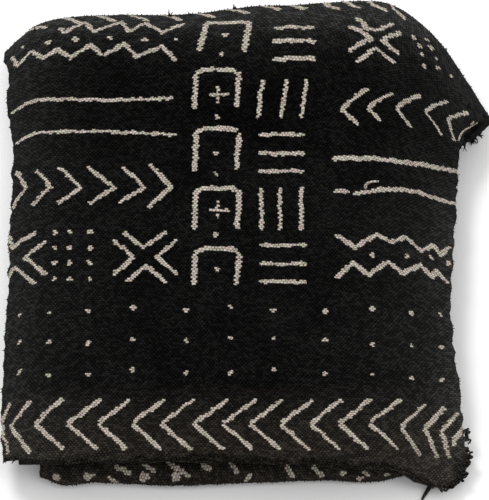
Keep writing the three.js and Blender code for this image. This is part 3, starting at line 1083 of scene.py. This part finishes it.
class Strands:
    """Loose yarns, gathered into one mesh: thin tapered tubes of four sides."""

    def __init__(self, seed):
        self.random = np.random.default_rng(seed)
        self.points = []
        self.faces = []

    def add(self, places, radius, tip_share=0.35):
        places = np.array(places, float)
        count = len(places)
        ways = np.gradient(places, axis=0)
        ways /= np.linalg.norm(ways, axis=1, keepdims=True) + TINY
        helper = np.array([0.3, 0.2, 1.0]) if abs(ways[0][2]) < 0.8 else np.array([1.0, 0.2, 0.3])
        first = len(self.points) * 4
        for number, (place, way) in enumerate(zip(places, ways)):
            aside = np.cross(way, helper)
            aside /= np.linalg.norm(aside)
            up = np.cross(aside, way)
            size = radius * mix(1, tip_share, number / (count - 1))
            self.points.append([place + side * size for side in (aside, up, -aside, -up)])
        for ring in range(count - 1):
            low = first + ring * 4
            for k in range(4):
                self.faces.append((low + k, low + (k + 1) % 4, low + 4 + (k + 1) % 4, low + 4 + k))
        last = first + (count - 1) * 4
        self.faces.append((first + 3, first + 2, first + 1, first))
        self.faces.append((last, last + 1, last + 2, last + 3))

    def above_floor(self, places, radius):
        for place in places:
            place[2] = max(place[2], FLOOR_CLEARANCE + radius)
        return places

    def tuft(self, root, way, length, radius, spread=0.5, droop=0.4):
        """One short loose yarn that starts that way and bends aside and down."""
        way = np.array(way, float) / (np.linalg.norm(way) + TINY)
        aside = self.random.normal(0, spread, 3)
        middle = root + way * length * 0.5 + aside * length * 0.2
        end = root + way * length + aside * length * 0.6 - np.array([0, 0, droop * length])
        self.add(self.above_floor([root - way * radius * 2, middle, end], radius), radius)

    def curl(self, root, way, size, radius):
        """One stubby loop of yarn that leaves that way and turns back."""
        way = np.array(way, float) / (np.linalg.norm(way) + TINY)
        aside = self.random.normal(0, 1, 3)
        aside -= way * np.dot(aside, way)
        aside *= size * 0.45 / (np.linalg.norm(aside) + TINY)
        turns = np.linspace(0, math.pi, CURL_POINTS)
        places = [root + way * size * math.sin(turn) + aside * (1 - math.cos(turn)) for turn in turns]
        self.add(self.above_floor(places, radius), radius, tip_share=0.9)

    def piece(self, name, material, painted=False):
        points = np.concatenate(self.points)
        strands = mesh_object(name, to_frame(points), np.array(self.faces))
        set_places(strands.data, points[:, :2], points)
        corners = (len(strands.data.loops), 1)
        for number in range(STROKES_A_FACE):
            stroke = PAINTED if painted else UNPAINTED
            set_vectors(strands.data, f"stroke_{number}", "CORNER", np.tile(stroke, corners))
            set_vectors(strands.data, f"brush_{number}", "CORNER", np.tile(STRAND_BRUSH, corners))
        strands.data.materials.append(material)
        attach(strands, "root")
        return strands


def edge_frays(sheet):
    """Short yarn ends along the front edge of the top quarter and down its two limbs."""
    strands = Strands(FRAY_SEED)
    random = strands.random
    last = sheet.left_limb + MIDDLE_CELLS
    for column in range(sheet.left_limb - 2, last + 3):
        outward = sheet.middle[0, column] - sheet.middle[3, column]
        for _ in range(YARNS_A_COLUMN):
            root = sheet.middle[0, column] + np.array([random.uniform(-1.5, 1.5), 0, 0])
            if root[0] > RAW_END_X:
                strands.curl(root, outward, random.uniform(*EDGE_CURL_SIZE), random.uniform(*CURL_RADIUS))
            else:
                strands.tuft(root, outward, random.uniform(*EDGE_TUFT_LENGTH), random.uniform(*TUFT_RADIUS))
    left, right = FLAP_CELLS + SIDE_FOLD_CELLS // 2, last + SIDE_FOLD_CELLS // 2
    for row in sheet.rows_of("top", "outer_back"):
        for column, way in ((left, -1), (right, 1)):
            if random.uniform() < LIMB_FRAY_CHANCE:
                root = sheet.middle[row, column]
                outward = np.array([way, random.normal(0, 0.6), random.normal(0.2, 0.5)])
                at_raw_end = root[0] > RAW_END_X and root[1] < RAW_END_Y
                length = random.uniform(*(LIMB_CURL_SIZE if at_raw_end else LIMB_TUFT_LENGTH))
                if at_raw_end:
                    strands.curl(root, outward, length, random.uniform(*CURL_RADIUS))
                else:
                    strands.tuft(root, outward, length, random.uniform(*TUFT_RADIUS), droop=0.1)
    return strands


def outline_loops(strands, sheet):
    """Stubby ends of yarn where the back fold and the front fold turn out of sight."""
    random = strands.random
    facing = sheet.facing()
    for part in ("outer_back", "front"):
        rows = sheet.rows_of(part)
        for column in range(sheet.left_limb - 3, sheet.left_limb + MIDDLE_CELLS + SIDE_FOLD_CELLS):
            row = rows[int(np.argmin(np.abs(facing[rows, column])))]
            for _ in range(YARNS_A_COLUMN):
                along = sheet.middle[row, column + 1] - sheet.middle[row, column]
                root = sheet.middle[row, column] + along * random.uniform(0, 1)
                radius = random.uniform(*STUB_RADIUS)
                length = random.uniform(*STUB_LENGTH)
                strands.tuft(root, sheet.normals[row, column], length, radius, spread=0.3, droop=0)


def seen_frays(strands, sheet):
    """The longer tufts, curls and threads, each by its place on the level of the stack's top."""
    random = strands.random
    for x, y, way_x, way_y, length in SEEN_TUFTS:
        place, normal, _ = sheet.locate([(x, y)], TOP_PARTS)[0]
        way = np.array([way_x, way_y, 0.6]) + normal * 0.3
        for _ in range(TUFT_YARNS):
            root = place + random.normal(0, TUFT_SCATTER, 3)
            size = length * random.uniform(*TUFT_SHARE)
            strands.tuft(root, way, size, SEEN_TUFT_RADIUS, spread=0.7, droop=0.25)
    for x, y, way_x, way_y, size in SEEN_CURLS:
        place, _, _ = sheet.locate([(x, y)], TOP_PARTS)[0]
        for _ in range(CURL_YARNS):
            root = place + random.normal(0, CURL_SCATTER, 3)
            way = np.array([way_x, way_y, 0.3]) + random.normal(0, 0.4, 3)
            strands.curl(root, way, size * random.uniform(*CURL_SHARE), random.uniform(*CURL_RADIUS))
    strands.add(TAIL_THREAD, TAIL_RADIUS)


def make_frays(sheet, material):
    strands = edge_frays(sheet)
    outline_loops(strands, sheet)
    seen_frays(strands, sheet)
    return strands.piece("frays", material)


def make_rim_stroke(sheet, material):
    """The thin painted yarn along the rim of the back right corner, and a pulled loop of painted yarn."""
    strands = Strands(FRAY_SEED)
    places = [place + normal * 0.2 for place, normal, _ in sheet.locate(RIM_STROKE, TOP_PARTS)]
    strands.add(places, RIM_RADIUS, tip_share=0.9)
    places = [place + normal * 1.2 for place, normal, _ in sheet.locate(LOOSE_LOOP, TOP_PARTS)]
    strands.add(places, LOOP_RADIUS, tip_share=0.8)
    return strands.piece("rim_stroke", material, painted=True)


class Value:
    """A number or vector in the shader, which takes part in sums and products as plain numbers do."""

    def __init__(self, nodes, socket):
        self.nodes = nodes
        self.socket = socket

    def __add__(self, other):
        return self.nodes.math("ADD", self, other)

    def __sub__(self, other):
        return self.nodes.math("SUBTRACT", self, other)

    def __rsub__(self, other):
        return self.nodes.math("SUBTRACT", other, self)

    def __mul__(self, other):
        return self.nodes.math("MULTIPLY", self, other)

    def __truediv__(self, other):
        return self.nodes.math("DIVIDE", self, other)


class Nodes:
    """Short ways to add shader nodes to one material."""

    def __init__(self, name):
        self.material = bpy.data.materials.new(name)
        self.material.use_nodes = True
        self.tree = self.material.node_tree
        self.shader = self.tree.nodes["Principled BSDF"]

    def link(self, value, socket):
        if isinstance(value, Value):
            self.tree.links.new(value.socket, socket)
        else:
            socket.default_value = value

    def node(self, kind, output, values, **settings):
        """A node with these settings, and with these values at its inputs by their number or name."""
        node = self.tree.nodes.new("ShaderNode" + kind)
        for name, setting in settings.items():
            setattr(node, name, setting)
        for name, value in values.items():
            self.link(value, node.inputs[name])
        return Value(self, node.outputs[output])

    def math(self, operation, a, b=0.0):
        return self.node("Math", 0, {0: a, 1: b}, operation=operation)

    def scaled(self, colour, factor):
        """A colour times a number."""
        return self.node("VectorMath", 0, {0: colour, "Scale": factor}, operation="SCALE")

    def attribute(self, name):
        return self.node("Attribute", "Vector", {}, attribute_name=name)

    def split(self, vector):
        return [self.node("SeparateXYZ", axis, {0: vector}) for axis in range(3)]

    def vector(self, x, y, z=0.0):
        return self.node("CombineXYZ", 0, {0: x, 1: y, 2: z})

    def noise(self, vector, scale, detail=2.0):
        return self.node("TexNoise", "Fac", {"Vector": vector, "Scale": scale, "Detail": detail})

    def white(self, vector):
        """A random number for each whole place."""
        return self.node("TexWhiteNoise", "Value", {"Vector": vector}, noise_dimensions="3D")

    def span(self, value, low, high, to_low=0.0, to_high=1.0):
        """A value's smooth way from low to high, as a way from to_low to to_high."""
        values = {"Value": value, "From Min": low, "From Max": high, "To Min": to_low, "To Max": to_high}
        return self.node("MapRange", "Result", values, interpolation_type="SMOOTHSTEP")

    def colours(self, factor, a, b):
        return self.node("Mix", 2, {"Factor": factor, 6: a, 7: b}, data_type="RGBA")


def weave_cells(nodes):
    """The weave's staggered floats: the place in a float from -1 to 1 each way, and the float's number."""
    flat = nodes.attribute("flat_place")
    u, v, _ = nodes.split(flat)
    for scale, amount in ((0.05, 5.0), (0.35, 0.8)):
        v = v + (nodes.noise(flat, scale) - 0.5) * amount
    u = u + (nodes.noise(flat, 0.2) - 0.5) * 2.0
    row = v / WEFT_PITCH
    row_number = nodes.math("FLOOR", row)
    column = u / WEFT_LENGTH + nodes.math("PINGPONG", row_number, 1.0) * 0.5
    x, y = (nodes.math("FRACT", place) * 2.0 - 1.0 for place in (column, row))
    return x, y, nodes.vector(nodes.math("FLOOR", column), row_number)


def painted_share(nodes, x, y, cell_random, fine):
    """How much of the paint covers a place. Most of a float takes it or not, so edges step with the yarns."""
    to_centre_u = x * (-WEFT_LENGTH / 2 * CELL_SNAP)
    to_centre_v = y * (-WEFT_PITCH / 2 * CELL_SNAP)
    closest = None
    for number in range(STROKES_A_FACE):
        s, t, half_length = nodes.split(nodes.attribute(f"stroke_{number}"))
        along_u, along_v, half_width = nodes.split(nodes.attribute(f"brush_{number}"))
        t = t + to_centre_u * along_u + to_centre_v * along_v
        s = s + to_centre_v * along_u - to_centre_u * along_v
        over = nodes.math("MAXIMUM", nodes.math("ABSOLUTE", t) - half_length, 0.0)
        distance = nodes.math("SQRT", s * s + over * over) - half_width
        closest = distance if closest is None else nodes.math("MINIMUM", closest, distance)
    ragged = closest + (cell_random - 0.5) * RAGGED_CELL + (fine - 0.5) * RAGGED_GRAIN
    return nodes.span(ragged, -0.12, 0.12, 1.0, 0.0)


def black_yarn(nodes, flat, bulge, cell_random, fine):
    """The unpainted yarn's colour, random per float, with painted light and shade and a brown tint."""
    sheen_grey, brown, _ = nodes.split(nodes.attribute("painted_light_and_brown"))
    # Painted highlight and shade: each float's raised middle is painted lighter and its dips darker, with a
    # random shade.
    lit = nodes.span(bulge + cell_random * cell_random * 1.1 + fine * 0.9, 0.6, 2.35, 0.0, 3.2)
    even = lit * 0.55 + 0.45
    black = nodes.span(nodes.noise(flat, 0.02, 3.0), 0.3, 0.7, *BLACK_SHADES)
    # The painted sheen varies only half as much from float to float as the black, and is added to it.
    sheen_grey = sheen_grey * even + black * lit
    brown = brown * even
    return nodes.vector(*(sheen_grey * a + brown * b for a, b in zip(GREY_TINT, BROWN_TINT)))


def paint_colour(nodes, flat, bulge, cell_random):
    """The paint's colour, which varies from float to float, with painted shade where the yarns dip."""
    _, _, paint_shade = nodes.split(nodes.attribute("painted_light_and_brown"))
    hue = nodes.span(nodes.noise(flat, 0.09, 2.0), 0.35, 0.65)
    paint = nodes.colours(cell_random, nodes.colours(hue, *DIM_PAINT), nodes.colours(hue, *BRIGHT_PAINT))
    # Painted shade where the yarns dip.
    paint = nodes.scaled(paint, nodes.span(bulge, 0.1, 0.9, 0.6, 1.02))
    # Painted shade on the low front parts, under the top quarter's front edge.
    return nodes.scaled(paint, 1.0 - paint_shade)


def mud_cloth_material():
    nodes = Nodes("mud_cloth")
    flat = nodes.attribute("flat_place")
    x, y, cell = weave_cells(nodes)
    cell_random = nodes.white(cell)
    fine = nodes.noise(flat, 0.9, 3.0)
    round_x = 1.0 - nodes.math("POWER", nodes.math("ABSOLUTE", x), 2.5)
    bulge = round_x * nodes.math("SQRT", nodes.math("MAXIMUM", 1.0 - y * y, 0.0))
    filled = nodes.span(bulge + cell_random * 0.45 + fine * 0.9, 0.45, 0.95, 0.12, 1.0)
    covered = painted_share(nodes, x, y, cell_random, fine) * filled
    dark = black_yarn(nodes, flat, bulge, cell_random, fine)
    light = paint_colour(nodes, flat, bulge, cell_random)
    nodes.link(nodes.colours(covered, dark, light), nodes.shader.inputs["Base Color"])
    for name, value in CLOTH_FINISH.items():
        nodes.shader.inputs[name].default_value = value
    height = {"Height": bulge + fine * 0.5, "Strength": 1.0, "Distance": BUMP_DEPTH}
    nodes.link(nodes.node("Bump", 0, height), nodes.shader.inputs["Normal"])
    return nodes.material


def make_floor():
    mesh = bpy.data.meshes.new("floor")
    corners = [(FLOOR_HALF_SIZE * x, FLOOR_HALF_SIZE * y, 0) for x, y in ((-1, -1), (1, -1), (1, 1), (-1, 1))]
    mesh.from_pydata(corners, [], [(0, 1, 2, 3)])
    floor = bpy.data.objects.new("floor", mesh)
    bpy.context.scene.collection.objects.link(floor)
    material = bpy.data.materials.new("floor")
    material.use_nodes = True
    shader = material.node_tree.nodes["Principled BSDF"]
    shader.inputs["Base Color"].default_value = FLOOR_COLOUR
    shader.inputs["Roughness"].default_value = 0.9
    mesh.materials.append(material)


def make_camera():
    data = bpy.data.cameras.new("camera")
    data.sensor_width = SENSOR
    data.lens = SENSOR * CAMERA_DISTANCE / (MM_PER_PIXEL * IMAGE_HEIGHT)
    camera = bpy.data.objects.new("camera", data)
    back = np.array([0, -math.cos(CAMERA_TILT), math.sin(CAMERA_TILT)])
    camera.location = to_frame(np.array(CAMERA_TARGET) + back * CAMERA_DISTANCE)
    camera.rotation_euler = (math.pi / 2 - CAMERA_TILT, 0, 0)
    data.clip_end = 100
    bpy.context.scene.collection.objects.link(camera)
    bpy.context.scene.camera = camera


def make_light(name, place, size, power):
    data = bpy.data.lights.new(name, "AREA")
    data.shape = "DISK"
    data.size = size
    data.energy = power
    light = bpy.data.objects.new(name, data)
    light.location = place
    light.rotation_euler = (-Vector(place)).to_track_quat("-Z", "Y").to_euler()
    bpy.context.scene.collection.objects.link(light)


def make_lighting():
    world = bpy.data.worlds.new("studio")
    world.use_nodes = True
    world.node_tree.nodes["Background"].inputs["Color"].default_value = (1, 1, 1, 1)
    world.node_tree.nodes["Background"].inputs["Strength"].default_value = WORLD_STRENGTH
    bpy.context.scene.world = world
    for name, (place, size, power) in LAMPS.items():
        make_light(name, place, size, power)
    bpy.context.scene.view_settings.view_transform = "Standard"


make_camera()
make_lighting()
make_floor()
cloth_sheet = Sheet()
mud_cloth = mud_cloth_material()
cloth_frays = [make_frays(cloth_sheet, mud_cloth), make_rim_stroke(cloth_sheet, mud_cloth)]
make_cloth(cloth_sheet, painted_chart(cloth_sheet), mud_cloth)
